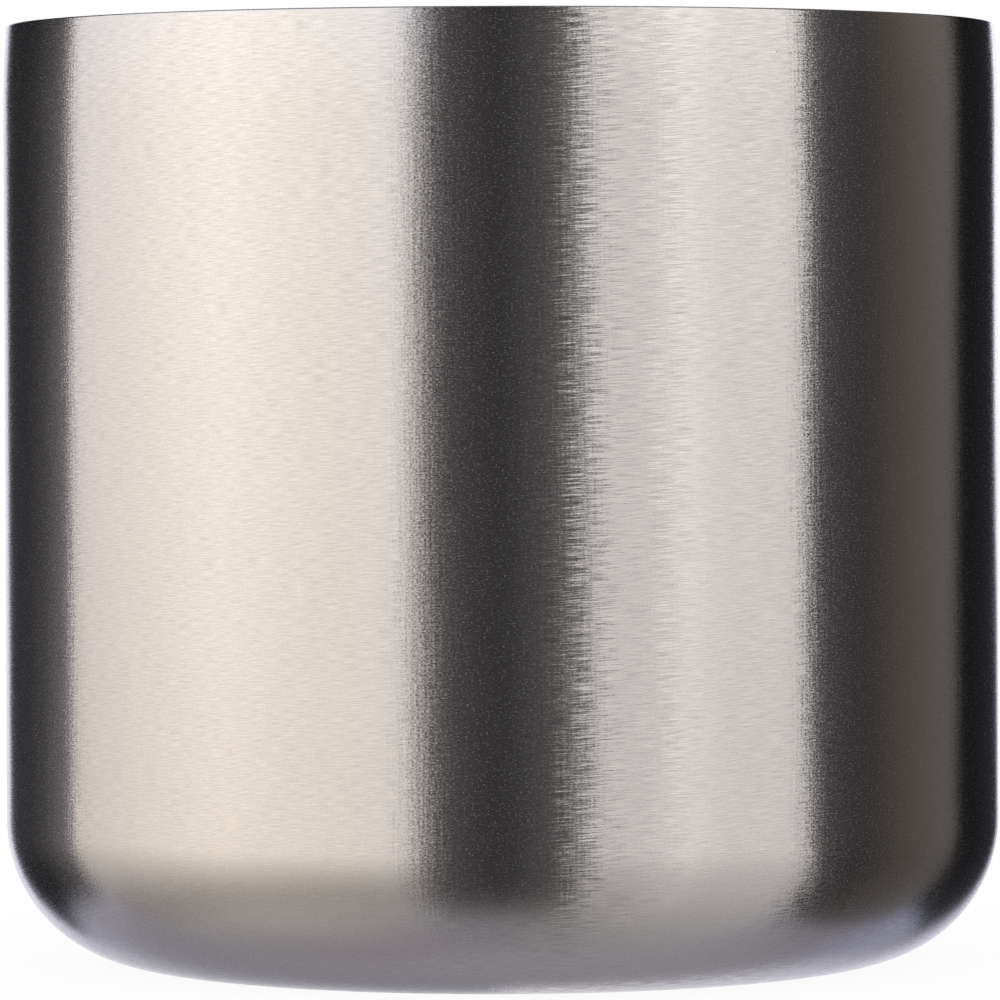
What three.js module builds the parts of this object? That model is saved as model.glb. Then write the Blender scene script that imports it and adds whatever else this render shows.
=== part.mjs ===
// Stainless steel tumbler: a double-walled vacuum cup, modelled as the pieces it is made from.
// Millimetres, +Z up. The origin is the centre of the flat ring that the cup stands on.

import * as THREE from 'three';

// Overall size of the cup
const OUTER_RADIUS = 42.5;
const HEIGHT = 80;

// Sheet thicknesses, and the evacuated space between the two straight walls
const SHELL_WALL = 0.6;
const LINER_WALL = 0.5;
const VACUUM_GAP = 3;

// Outer shell: the large rounded lower corner
const SHELL_CORNER_RADIUS = 12.25;

// Rim: the collar where the two sheets lie on each other, the gap between them there,
// and the weld on their top edges with its eased corners
const COLLAR_HEIGHT = 3;
const COLLAR_FIT = 0.05;
const WELD_HEIGHT = 0.6;
const WELD_EDGE_RADIUS = 0.35;

// The welded rim is rolled in a little: how far at the top, and over which height
const ROLL_INSET = 0.3;
const ROLL_HEIGHT = 8;
const ROLL_STEPS = 5;

// Liner: its lower corner on the drink's side, the flare that meets the shell, and the free space under it
const LINER_CORNER_RADIUS = 10;
const FLARE_HEIGHT = 9;
const FLARE_BEND = 12;
const FLOOR_GAP = 3.2;

// Underside of the shell: the flat ring that it stands on, and the bends of the recess inside that ring
const FOOT_WIDTH = 3;
const RECESS_BEND = 0.4;

// Dimple with the evacuation port in the middle of the recess
const DIMPLE_MOUTH_RADIUS = 5;
const DIMPLE_FLOOR_RADIUS = 3;
const DIMPLE_DEPTH = 1.6;
const DIMPLE_BEND = 0.4;
const PORT_RADIUS = 1;

// Bead of solder glass that closes the port
const SEAL_MARGIN = 0.7;
const SEAL_HEIGHT = 0.9;
const SEAL_STUB_CLEARANCE = 0.15;

// Base cover, set back in the recess, and the ring of adhesive that holds it there
const COVER_SETBACK = 0.8;
const COVER_THICKNESS = 0.8;
const COVER_EDGE_RADIUS = 0.3;
const BOND_THICKNESS = 0.4;
const BOND_WIDTH = 6;
const BOND_MARGIN = 1.5;

// Copper foil round the liner's wall and under its floor
const FOIL_THICKNESS = 0.15;
const FOIL_CLEARANCE = 0.2;
const FOIL_MARGIN = 1.5;
const FOIL_LAP = 12;

// Getter pill that keeps the vacuum, and the strap that is spot welded over it
const GETTER_RADIUS = 4.5;
const GETTER_HEIGHT = 2.4;
const GETTER_CHAMFER = 0.4;
const STRAP_THICKNESS = 0.3;
const STRAP_WIDTH = 4;
const STRAP_CLEARANCE = 0.2;
const STRAP_FLANGE = 3.5;

// Facets: sides of a large turned piece, sides of a small one, and how far a step of a bend may leave its arc
const LARGE_SIDES = 64;
const SMALL_SIDES = 32;
const CHORD_ERROR = 0.05;

// Places that several pieces share
const LIP_WIDTH = SHELL_WALL + COLLAR_FIT + LINER_WALL;
const LIP_Z = HEIGHT - WELD_HEIGHT;
const COLLAR_Z = LIP_Z - COLLAR_HEIGHT;
const LIP_INNER_RADIUS = OUTER_RADIUS - LIP_WIDTH;
const LINER_OUTER_RADIUS = OUTER_RADIUS - SHELL_WALL - VACUUM_GAP;
const LINER_INNER_RADIUS = LINER_OUTER_RADIUS - LINER_WALL;
const RECESS_RADIUS = OUTER_RADIUS - SHELL_CORNER_RADIUS - FOOT_WIDTH - RECESS_BEND - SHELL_WALL;
const COVER_RADIUS = RECESS_RADIUS - RECESS_BEND;
const COVER_TOP_Z = COVER_SETBACK + COVER_THICKNESS;
const RECESS_DEPTH = COVER_TOP_Z + BOND_THICKNESS;
const LEDGE_Z = RECESS_DEPTH + SHELL_WALL;
const DIMPLE_Z = RECESS_DEPTH + DIMPLE_DEPTH;
const GETTER_OFFSET = (DIMPLE_MOUTH_RADIUS + RECESS_RADIUS) / 2;
const STRAP_TOP_Z = LEDGE_Z + GETTER_HEIGHT + STRAP_CLEARANCE + STRAP_THICKNESS;
const LINER_UNDER_Z = STRAP_TOP_Z + FLOOR_GAP + FOIL_THICKNESS + FOIL_CLEARANCE;
const LINER_FLOOR_Z = LINER_UNDER_Z + LINER_WALL;

// Finishes
const brushedSteel = new THREE.MeshStandardMaterial({ color: 0xc9c4be, roughness: 0.32, metalness: 1 });
const satinSteel = new THREE.MeshStandardMaterial({ color: 0xc4c1bd, roughness: 0.4, metalness: 1 });
const polishedSteel = new THREE.MeshStandardMaterial({ color: 0xd2cfca, roughness: 0.18, metalness: 1 });
const copperFoil = new THREE.MeshStandardMaterial({ color: 0xc98a63, roughness: 0.25, metalness: 1 });
const sinteredGetter = new THREE.MeshStandardMaterial({ color: 0x55524e, roughness: 0.85, metalness: 0.4 });
const solderGlass = new THREE.MeshStandardMaterial({ color: 0x4a5148, roughness: 0.15, metalness: 0 });
const curedAdhesive = new THREE.MeshStandardMaterial({ color: 0x8a8880, roughness: 0.6, metalness: 0 });

const point = (r, z) => new THREE.Vector2(r, z);

// Points of a round stretch from one angle to another, both ends included.
function arc(centre, radius, from, to) {
  const largestStep = 2 * Math.acos(1 - CHORD_ERROR / radius);
  const steps = Math.ceil(Math.abs(to - from) / largestStep);
  return Array.from({ length: steps + 1 }, (_, i) => {
    const angle = from + ((to - from) * i) / steps;
    return point(centre.x + radius * Math.cos(angle), centre.y + radius * Math.sin(angle));
  });
}

// One bend of a sheet: the arcs of both faces where the drawn face turns at a corner.
// The hidden face lies to the left of the way that the drawn face runs, one wall away.
// The given radius is that of the face on the inside of the bend.
function bend(before, corner, after, insideRadius, wall) {
  const arriving = corner.clone().sub(before).normalize();
  const leaving = after.clone().sub(corner).normalize();
  const turn = Math.atan2(arriving.cross(leaving), arriving.dot(leaving));
  const side = Math.sign(turn);
  const drawnRadius = insideRadius + (side > 0 ? wall : 0);
  const hiddenRadius = insideRadius + (side > 0 ? 0 : wall);
  const reach = drawnRadius * Math.tan(Math.abs(turn) / 2);
  const start = corner.clone().addScaledVector(arriving, -reach);
  const toCentre = point(-arriving.y, arriving.x).multiplyScalar(side);
  const centre = start.clone().addScaledVector(toCentre, drawnRadius);
  const from = Math.atan2(-toCentre.y, -toCentre.x);
  return {
    drawn: arc(centre, drawnRadius, from, from + turn),
    hidden: arc(centre, hiddenRadius, from, from + turn),
  };
}

// Closed outline of a bent sheet, from its drawn face: the two ends, and corners with their bend radii.
function sheet(first, corners, last, wall) {
  const stops = [first, ...corners.map(({ at }) => at), last];
  const bends = corners.map(({ at, radius }, i) => bend(stops[i], at, stops[i + 2], radius, wall));
  const offset = (from, to, origin) => {
    const along = to.clone().sub(from).normalize();
    return origin.clone().add(point(-along.y, along.x).multiplyScalar(wall));
  };
  const count = stops.length;
  const drawn = [first, ...bends.flatMap((b) => b.drawn), last];
  const hidden = [
    offset(stops[0], stops[1], first),
    ...bends.flatMap((b) => b.hidden),
    offset(stops[count - 2], stops[count - 1], last),
  ];
  return [...drawn, ...hidden.reverse()];
}

// Outline with its top rolled in: a point moves inwards by the square of its height in the roll.
// All pieces of the rim move alike at the same height, so they keep their fit.
function rolledIn(outline) {
  const start = HEIGHT - ROLL_HEIGHT;
  const heights = Array.from({ length: ROLL_STEPS }, (_, i) => start + (ROLL_HEIGHT * i) / ROLL_STEPS);
  const divided = outline.flatMap((from, i) => {
    const to = outline[(i + 1) % outline.length];
    const passed = heights.filter((height) => (height - from.y) * (to.y - height) > 0);
    const added = passed.map((height) => from.clone().lerp(to, (height - from.y) / (to.y - from.y)));
    return [from, ...(to.y < from.y ? added.reverse() : added)];
  });
  const inset = (height) => ROLL_INSET * (Math.max(0, height - start) / ROLL_HEIGHT) ** 2;
  return divided.map(({ x, y }) => point(x - inset(y), y));
}

// Solid of revolution about Z. The outline runs anticlockwise in (radius, height) and closes on itself.
function turned(outline, sides) {
  const geometry = new THREE.LatheGeometry([...outline, outline[0]], sides);
  geometry.rotateX(Math.PI / 2);
  return geometry;
}

function piece(name, geometry, material) {
  const mesh = new THREE.Mesh(geometry, material);
  mesh.name = name;
  return mesh;
}

// Outer shell: one deep-drawn sheet, from the evacuation port over the foot ring and up to the rim.
function outerShell() {
  const corners = [
    { at: point(DIMPLE_FLOOR_RADIUS, DIMPLE_Z), radius: DIMPLE_BEND },
    { at: point(DIMPLE_MOUTH_RADIUS, RECESS_DEPTH), radius: DIMPLE_BEND },
    { at: point(RECESS_RADIUS, RECESS_DEPTH), radius: RECESS_BEND },
    { at: point(RECESS_RADIUS, 0), radius: RECESS_BEND },
    { at: point(OUTER_RADIUS, 0), radius: SHELL_CORNER_RADIUS - SHELL_WALL },
  ];
  const outline = sheet(point(PORT_RADIUS, DIMPLE_Z), corners, point(OUTER_RADIUS, LIP_Z), SHELL_WALL);
  return piece('outer_shell', turned(rolledIn(outline), LARGE_SIDES), brushedSteel);
}

// Inner liner: the drawn cup that holds the drink. Its rim flares out to lie inside the shell's collar.
function innerLiner() {
  const outerLip = LIP_INNER_RADIUS + LINER_WALL;
  const corners = [
    { at: point(LINER_OUTER_RADIUS, LINER_UNDER_Z), radius: LINER_CORNER_RADIUS },
    { at: point(LINER_OUTER_RADIUS, COLLAR_Z - FLARE_HEIGHT), radius: FLARE_BEND },
    { at: point(outerLip, COLLAR_Z), radius: FLARE_BEND },
  ];
  const outline = sheet(point(0, LINER_UNDER_Z), corners, point(outerLip, LIP_Z), LINER_WALL);
  return piece('inner_liner', turned(rolledIn(outline), LARGE_SIDES), satinSteel);
}

// Rim weld: the bead that joins the two sheets all round, ground flush with them and eased at both edges.
function rimWeld() {
  const outerEdge = point(OUTER_RADIUS - WELD_EDGE_RADIUS, HEIGHT - WELD_EDGE_RADIUS);
  const innerEdge = point(LIP_INNER_RADIUS + WELD_EDGE_RADIUS, HEIGHT - WELD_EDGE_RADIUS);
  const outline = [
    point(LIP_INNER_RADIUS, LIP_Z),
    point(OUTER_RADIUS, LIP_Z),
    ...arc(outerEdge, WELD_EDGE_RADIUS, 0, Math.PI / 2),
    ...arc(innerEdge, WELD_EDGE_RADIUS, Math.PI / 2, Math.PI),
  ];
  return piece('rim_weld', turned(rolledIn(outline), LARGE_SIDES), polishedSteel);
}

// Copper foil wrap: one strip round the liner's straight wall, with its end lapped over its start.
function foilWrap() {
  const start = LINER_OUTER_RADIUS + FOIL_CLEARANCE;
  const lapTurn = FOIL_LAP / start;
  const rise = FOIL_THICKNESS + FOIL_CLEARANCE;
  const whole = 2 * Math.PI;
  const ramp = whole / LARGE_SIDES;
  const spiral = (angle, lift) => {
    const climb = THREE.MathUtils.clamp((angle - whole + 2 * ramp) / ramp, 0, 1);
    const radius = start + lift + climb * rise;
    return point(radius * Math.cos(angle), radius * Math.sin(angle));
  };
  const steps = Math.ceil((whole + lapTurn) / ramp);
  const angles = Array.from({ length: steps + 1 }, (_, i) => Math.min(i * ramp, whole + lapTurn));
  const inner = angles.map((angle) => spiral(angle, 0));
  const outer = angles.map((angle) => spiral(angle, FOIL_THICKNESS)).reverse();
  const bottom = LINER_FLOOR_Z + LINER_CORNER_RADIUS + FOIL_MARGIN;
  const flareTurn = Math.atan2(LIP_INNER_RADIUS - LINER_INNER_RADIUS, FLARE_HEIGHT);
  const flareReach = FLARE_BEND * Math.tan(flareTurn / 2);
  const top = COLLAR_Z - FLARE_HEIGHT - flareReach - FOIL_MARGIN;
  const strip = new THREE.ExtrudeGeometry(new THREE.Shape([...outer, ...inner]), {
    depth: top - bottom,
    bevelEnabled: false,
  });
  const mesh = piece('foil_wrap', strip, copperFoil);
  mesh.position.z = bottom;
  return mesh;
}

// Copper foil disc under the flat of the liner's floor.
function foilDisc() {
  const radius = LINER_INNER_RADIUS - LINER_CORNER_RADIUS - FOIL_MARGIN;
  const top = LINER_UNDER_Z - FOIL_CLEARANCE;
  const outline = [
    point(0, top - FOIL_THICKNESS),
    point(radius, top - FOIL_THICKNESS),
    point(radius, top),
    point(0, top),
  ];
  return piece('foil_disc', turned(outline, SMALL_SIDES), copperFoil);
}

// Getter pill: sintered metal that takes up stray gas inside the vacuum.
function getterPill() {
  const shoulder = GETTER_RADIUS - GETTER_CHAMFER;
  const outline = [
    point(0, 0),
    point(shoulder, 0),
    point(GETTER_RADIUS, GETTER_CHAMFER),
    point(GETTER_RADIUS, GETTER_HEIGHT - GETTER_CHAMFER),
    point(shoulder, GETTER_HEIGHT),
    point(0, GETTER_HEIGHT),
  ];
  return piece('getter_pill', turned(outline, SMALL_SIDES), sinteredGetter);
}

// Getter strap: a hat-shaped strip that bridges the pill, with a flange welded down on each side.
function getterStrap() {
  const leg = GETTER_RADIUS + STRAP_CLEARANCE;
  const under = GETTER_HEIGHT + STRAP_CLEARANCE;
  const end = leg + STRAP_THICKNESS + STRAP_FLANGE;
  const half = [
    point(leg, under),
    point(leg, 0),
    point(end, 0),
    point(end, STRAP_THICKNESS),
    point(leg + STRAP_THICKNESS, STRAP_THICKNESS),
    point(leg + STRAP_THICKNESS, under + STRAP_THICKNESS),
  ];
  const mirrored = half.map(({ x, y }) => point(-x, y)).reverse();
  const hat = new THREE.ExtrudeGeometry(new THREE.Shape([...half, ...mirrored]), {
    depth: STRAP_WIDTH,
    bevelEnabled: false,
  });
  hat.translate(0, 0, -STRAP_WIDTH / 2);
  hat.rotateX(Math.PI / 2);
  return piece('getter_strap', hat, satinSteel);
}

// The getter and its strap stand together on the vacuum side of the recess.
function getter() {
  const group = new THREE.Group();
  group.add(getterPill(), getterStrap());
  group.position.set(0, GETTER_OFFSET, LEDGE_Z);
  return group;
}

// Port seal: solder glass that has flowed over the port, with a stub in the hole.
function portSeal() {
  const stub = PORT_RADIUS - SEAL_STUB_CLEARANCE;
  const spread = DIMPLE_FLOOR_RADIUS - SEAL_MARGIN;
  const crownRadius = (spread ** 2 + SEAL_HEIGHT ** 2) / (2 * SEAL_HEIGHT);
  const centre = point(0, DIMPLE_Z - SEAL_HEIGHT + crownRadius);
  const edge = Math.atan2(DIMPLE_Z - centre.y, spread);
  const outline = [
    ...arc(centre, crownRadius, -Math.PI / 2, edge),
    point(stub, DIMPLE_Z),
    point(stub, DIMPLE_Z + SHELL_WALL),
    point(0, DIMPLE_Z + SHELL_WALL),
  ];
  outline[0].x = 0;
  return piece('port_seal', turned(outline, SMALL_SIDES), solderGlass);
}

// Cover bond: the ring of adhesive between the recess and the base cover.
function coverBond() {
  const outer = COVER_RADIUS - BOND_MARGIN;
  const inner = outer - BOND_WIDTH;
  const outline = [
    point(inner, COVER_TOP_Z),
    point(outer, COVER_TOP_Z),
    point(outer, RECESS_DEPTH),
    point(inner, RECESS_DEPTH),
  ];
  return piece('cover_bond', turned(outline, LARGE_SIDES), curedAdhesive);
}

// Base cover: the disc that hides the port and its seal, set back from the foot ring.
function baseCover() {
  const edge = point(COVER_RADIUS - COVER_EDGE_RADIUS, COVER_SETBACK + COVER_EDGE_RADIUS);
  const outline = [
    point(0, COVER_SETBACK),
    ...arc(edge, COVER_EDGE_RADIUS, -Math.PI / 2, 0),
    point(COVER_RADIUS, COVER_TOP_Z),
    point(0, COVER_TOP_Z),
  ];
  return piece('base_cover', turned(outline, LARGE_SIDES), brushedSteel);
}

const tumbler = new THREE.Group();
tumbler.name = 'tumbler';
tumbler.add(outerShell(), innerLiner(), rimWeld());
tumbler.add(foilWrap(), foilDisc(), getter());
tumbler.add(portSeal(), coverBond(), baseCover());

export default tumbler;
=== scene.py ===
"""Looks of a stainless steel tumbler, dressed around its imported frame.

The tumbler is a vacuum cup. A brushed outer shell and a satin inner liner are welded together at the
rim, with copper foil, a getter and a sealed evacuation port between and under them. Sizes are in
millimetres and become metres where a mesh is made.
"""

import logging
import math
from dataclasses import dataclass, replace
from enum import Enum

import bpy
import numpy as np
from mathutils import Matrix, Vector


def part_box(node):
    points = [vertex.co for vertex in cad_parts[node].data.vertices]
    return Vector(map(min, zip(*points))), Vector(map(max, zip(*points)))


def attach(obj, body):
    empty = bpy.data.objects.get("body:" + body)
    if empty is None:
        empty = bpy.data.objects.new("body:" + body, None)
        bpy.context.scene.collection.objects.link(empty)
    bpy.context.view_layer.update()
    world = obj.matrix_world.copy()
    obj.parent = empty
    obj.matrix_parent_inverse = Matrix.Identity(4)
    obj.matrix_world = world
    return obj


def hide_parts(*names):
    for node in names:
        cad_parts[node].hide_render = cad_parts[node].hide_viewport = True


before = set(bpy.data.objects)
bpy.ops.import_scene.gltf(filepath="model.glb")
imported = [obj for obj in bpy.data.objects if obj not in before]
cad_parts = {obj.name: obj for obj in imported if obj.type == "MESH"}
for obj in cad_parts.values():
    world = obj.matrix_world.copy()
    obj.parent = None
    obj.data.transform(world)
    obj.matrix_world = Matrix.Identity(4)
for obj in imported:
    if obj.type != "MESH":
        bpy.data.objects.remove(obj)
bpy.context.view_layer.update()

LOG = logging.getLogger("tumbler")
MM = 0.001
BODY = "root"
GRAIN_MAP = "grain"
RADIANCE = "radiance"

# Inputs and outputs of Blender's Mix node when it mixes colours
MIX_FIRST, MIX_SECOND, MIX_RESULT = 6, 7, 2

# Widest step of a bend, turn of an edge that stays sharp, and radius under which a point is on the axis
BEND_STEP = math.radians(3)
SHARP_EDGE = math.radians(35)
ON_AXIS = 1e-6

# Values of a mottle's noise at which its dark and its light colour are full
MOTTLE_RANGE = (0.3, 0.7)


class Turn(Enum):
    """How finely a turned piece is divided round the axis."""

    LARGE = 360
    SMALL = 96


def linear(hex_colour: str) -> tuple[float, float, float]:
    """Turns an sRGB hex colour into linear red, green and blue.

    Args:
        hex_colour: Six hex digits after a hash sign.

    Returns:
        The three linear parts, each from 0 to 1.
    """
    parts = [int(hex_colour[i:i + 2], 16) / 255 for i in (1, 3, 5)]
    return tuple(p / 12.92 if p <= 0.04045 else ((p + 0.055) / 1.055) ** 2.4 for p in parts)


def add_node(
    tree: bpy.types.NodeTree,
    kind: str,
    values: dict | None = None,
    links: dict | None = None,
    **settings: object,
) -> bpy.types.Node:
    """Adds one node with its settings, plain input values and links.

    Args:
        tree: Node tree that gets the node.
        kind: Blender's type name of the node.
        values: Plain values, by the input's name or number.
        links: Output sockets to link from, by the input's name or number.
        settings: Properties of the node itself.

    Returns:
        The new node.
    """
    node = tree.nodes.new(kind)
    for name, value in settings.items():
        setattr(node, name, value)
    for name, value in (values or {}).items():
        node.inputs[name].default_value = value
    for name, socket in (links or {}).items():
        tree.links.new(socket, node.inputs[name])
    return node


def start_material(name: str) -> tuple[bpy.types.Material, bpy.types.NodeTree, bpy.types.Node]:
    """Starts a node material.

    Args:
        name: Name of the material.

    Returns:
        The material, its node tree and its Principled shader.
    """
    material = bpy.data.materials.new(name)
    material.use_nodes = True
    return material, material.node_tree, material.node_tree.nodes["Principled BSDF"]


@dataclass(frozen=True)
class Surface:
    """One mesh as whole arrays: points, faces with their corner coordinates, all in millimetres."""

    points: np.ndarray
    quads: np.ndarray
    quad_uv: np.ndarray
    triangles: np.ndarray
    triangle_uv: np.ndarray

    def moved(self, x: float, y: float, z: float) -> "Surface":
        """The same surface at another place."""
        return replace(self, points=self.points + np.array([x, y, z]))

    def to_object(self, name: str) -> bpy.types.Object:
        """Makes the mesh object, smooth except at sharp edges.

        Args:
            name: Name of the object and its mesh.

        Returns:
            The object, at the origin, linked to the scene.
        """
        mesh = bpy.data.meshes.new(name)
        mesh.from_pydata(self.points * MM, [], self.quads.tolist() + self.triangles.tolist())
        grain = mesh.uv_layers.new(name=GRAIN_MAP)
        corners = np.concatenate([self.quad_uv.reshape(-1, 2), self.triangle_uv.reshape(-1, 2)])
        grain.uv.foreach_set("vector", corners.astype(np.float32).ravel())
        mesh.shade_smooth()
        mesh.set_sharp_from_angle(angle=SHARP_EDGE)
        piece = bpy.data.objects.new(name, mesh)
        bpy.context.scene.collection.objects.link(piece)
        return piece


def arc(
    centre: np.ndarray | tuple[float, float], radius: float, start: float, end: float,
) -> np.ndarray:
    """Points of a round stretch, from one angle to another, a step of at most BEND_STEP apart.

    Args:
        centre: Centre of the arc, as radius and height.
        radius: Radius of the arc.
        start: First angle in radians.
        end: Last angle in radians.

    Returns:
        The points, both ends included.
    """
    steps = max(4, math.ceil(abs(end - start) / BEND_STEP))
    angles = np.linspace(start, end, steps + 1)
    return np.asarray(centre) + radius * np.stack([np.cos(angles), np.sin(angles)], axis=1)


@dataclass(frozen=True)
class Bend:
    """One bend of a sheet: where the drawn face would turn sharply, and the radius inside the bend."""

    radius: float
    height: float
    inside: float

    def faces(self, before: np.ndarray, after: np.ndarray, wall: float) -> tuple[np.ndarray, np.ndarray]:
        """Arcs of the drawn face and of the face one wall to its left.

        Both arcs have the same centre, which lies off the arriving line by the drawn radius, at the
        distance radius times tan(turn / 2) before the corner.

        Args:
            before: Point that the drawn face comes from.
            after: Point that it goes on to.
            wall: Thickness of the sheet.

        Returns:
            The points of both arcs.
        """
        corner = np.array([self.radius, self.height])
        arriving = (corner - before) / np.linalg.norm(corner - before)
        leaving = (after - corner) / np.linalg.norm(after - corner)
        cross = arriving[0] * leaving[1] - arriving[1] * leaving[0]
        turn = math.atan2(cross, arriving @ leaving)
        side = math.copysign(1.0, turn)
        drawn = self.inside + (wall if side > 0 else 0.0)
        hidden = self.inside + (0.0 if side > 0 else wall)
        to_centre = side * np.array([-arriving[1], arriving[0]])
        centre = corner - arriving * drawn * math.tan(abs(turn) / 2) + to_centre * drawn
        start = math.atan2(-to_centre[1], -to_centre[0])
        return arc(centre, drawn, start, start + turn), arc(centre, hidden, start, start + turn)


def sheet(
    first: tuple[float, float], bends: list[Bend], last: tuple[float, float], wall: float,
) -> np.ndarray:
    """Closed outline of a bent sheet: along its drawn face, and back along the face one wall to the left.

    Args:
        first: Start of the drawn face, as radius and height.
        bends: Bends in order along it.
        last: End of the drawn face.
        wall: Thickness of the sheet.

    Returns:
        The outline's points, anticlockwise.
    """
    stops = np.array([first, *[(b.radius, b.height) for b in bends], last])
    arcs = [b.faces(stops[i], stops[i + 2], wall) for i, b in enumerate(bends)]
    along = stops[[1, -1]] - stops[[0, -2]]
    along /= np.linalg.norm(along, axis=1, keepdims=True)
    ends = stops[[0, -1]] + wall * np.stack([-along[:, 1], along[:, 0]], axis=1)
    drawn = np.concatenate([stops[:1], *[a[0] for a in arcs], stops[-1:]])
    hidden = np.concatenate([ends[:1], *[a[1] for a in arcs], ends[-1:]])
    return np.concatenate([drawn, hidden[::-1]])


def divided(outline: np.ndarray, longest: float) -> np.ndarray:
    """Divides a closed outline's straight stretches evenly, so that no step is longer than given.

    Args:
        outline: Points of the closed outline.
        longest: Longest step allowed.

    Returns:
        The outline with the added points.
    """
    step = np.roll(outline, -1, axis=0) - outline
    counts = np.maximum(1, np.ceil(np.linalg.norm(step, axis=1) / longest)).astype(int)
    owner = np.repeat(np.arange(len(outline)), counts)
    rank = np.arange(counts.sum()) - np.repeat(np.cumsum(counts) - counts, counts)
    return outline[owner] + (rank / counts[owner])[:, None] * step[owner]


def turned(outline: np.ndarray, turn: Turn) -> Surface:
    """Turns a closed outline about the vertical axis.

    A point at radius r and height z goes to (r sin a, r cos a, z) at angle a, so the coordinates' seam is
    at the back. The coordinate u is a times the largest radius, and v is the way along the outline. Points
    on the axis become one vertex.

    Args:
        outline: Points as radius and height, anticlockwise.
        turn: How finely it is divided round the axis.

    Returns:
        The closed surface.
    """
    sides = turn.value
    closed = np.concatenate([outline, outline[:1]])
    way = np.concatenate([[0.0], np.cumsum(np.linalg.norm(np.diff(closed, axis=0), axis=1))])
    angle = np.linspace(0.0, 2 * np.pi, sides + 1)
    r, z = outline[:, :1], outline[:, 1:]
    grid = np.stack(np.broadcast_arrays(r * np.sin(angle[:-1]), r * np.cos(angle[:-1]), z), axis=-1)
    index = np.arange(len(outline) * sides).reshape(len(outline), sides)
    index = np.where(r < ON_AXIS, index[:, :1], index)
    used, index = np.unique(index, return_inverse=True)
    index = index.reshape(len(outline), sides)
    low, high = index, np.roll(index, -1, axis=0)
    faces = np.stack([low, high, np.roll(high, -1, axis=1), np.roll(low, -1, axis=1)], axis=-1)
    u, v = np.meshgrid(angle * outline[:, 0].max(), way)
    uv = np.stack([u, v], axis=-1)
    uv = np.stack([uv[:-1, :-1], uv[1:, :-1], uv[1:, 1:], uv[:-1, 1:]], axis=-2)
    faces, uv = faces.reshape(-1, 4), uv.reshape(-1, 4, 2)
    low_pole = faces[:, 0] == faces[:, 3]
    high_pole = faces[:, 1] == faces[:, 2]
    from_low = low_pole & ~high_pole
    from_high = high_pole & ~low_pole
    plain = ~low_pole & ~high_pole
    return Surface(
        points=grid.reshape(-1, 3)[used],
        quads=faces[plain],
        quad_uv=uv[plain],
        triangles=np.concatenate([faces[from_low][:, [0, 1, 2]], faces[from_high][:, [0, 1, 3]]]),
        triangle_uv=np.concatenate([uv[from_low][:, [0, 1, 2]], uv[from_high][:, [0, 1, 3]]]),
    )


def strip(outline: np.ndarray, low: float, high: float) -> Surface:
    """Carries a sheet's closed outline straight from one height to another.

    The outline's first half is one face of the sheet and its second half the other face, backwards, so
    each end is closed by quads from face to face. On the faces u is the way along the outline and v the
    height, and on the ends u and v are the place itself.

    Args:
        outline: Points of the closed outline, anticlockwise.
        low: Height at which the strip starts.
        high: Height at which it ends.

    Returns:
        The closed surface.
    """
    count, half = len(outline), len(outline) // 2
    closed = np.concatenate([outline, outline[:1]])
    way = np.concatenate([[0.0], np.cumsum(np.linalg.norm(np.diff(closed, axis=0), axis=1))])
    points = np.concatenate([np.insert(outline, 2, z, axis=1) for z in (low, high)])
    here = np.arange(count)
    after = np.roll(here, -1)
    faces = np.stack([here, after, after + count, here + count], axis=1)
    ends = [(way[:-1], low), (way[1:], low), (way[1:], high), (way[:-1], high)]
    faces_uv = np.stack([np.stack([u, np.full(count, z)], axis=1) for u, z in ends], axis=1)
    near = np.arange(half - 1)
    top = np.stack([near, near + 1, count - 2 - near, count - 1 - near], axis=1)
    bottom = top[:, ::-1]
    quads = np.concatenate([faces, bottom, top + count])
    quad_uv = np.concatenate([faces_uv, outline[bottom], outline[top]])
    return Surface(points, quads, quad_uv, np.empty((0, 3), int), np.empty((0, 3, 2)))


@dataclass(frozen=True)
class Marks:
    """One kind of mark in a surface, drawn as noise.

    Length runs round the cup and width across it, both in millimetres. Tilt is in degrees off the way
    round. Depth, in millimetres, is how high the marks stand. Sparse marks have a level, below which the
    noise leaves the surface alone, and are full one edge above it. Solid marks fill space instead of
    following the surface, and have no seam.
    """

    length: float
    width: float
    depth: float = 0.0
    tilt: float = 0.0
    detail: float = 1.0
    level: float | None = None
    edge: float = 0.15
    solid: bool = False

    def noise(self, tree: bpy.types.NodeTree) -> bpy.types.NodeSocket:
        """Adds the noise to a material.

        Args:
            tree: Node tree of the material.

        Returns:
            The noise's value, from 0 to 1.
        """
        if self.solid:
            place = add_node(tree, "ShaderNodeTexCoord").outputs["Object"]
            scale = (self.length * MM, self.length * MM, self.width * MM)
        else:
            place = add_node(tree, "ShaderNodeUVMap", uv_map=GRAIN_MAP).outputs["UV"]
            scale = (self.length, self.width, 1.0)
        mapped = add_node(
            tree, "ShaderNodeMapping", vector_type="TEXTURE",
            values={"Rotation": (0.0, 0.0, math.radians(self.tilt)), "Scale": scale},
            links={"Vector": place},
        ).outputs["Vector"]
        noise = add_node(
            tree, "ShaderNodeTexNoise", noise_dimensions="3D" if self.solid else "2D",
            values={"Scale": 1.0, "Detail": self.detail}, links={"Vector": mapped},
        ).outputs["Fac"]
        if self.level is None:
            return noise
        return add_node(
            tree, "ShaderNodeMapRange", interpolation_type="SMOOTHSTEP",
            values={"From Min": self.level, "From Max": self.level + self.edge}, links={"Value": noise},
        ).outputs["Result"]


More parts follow.
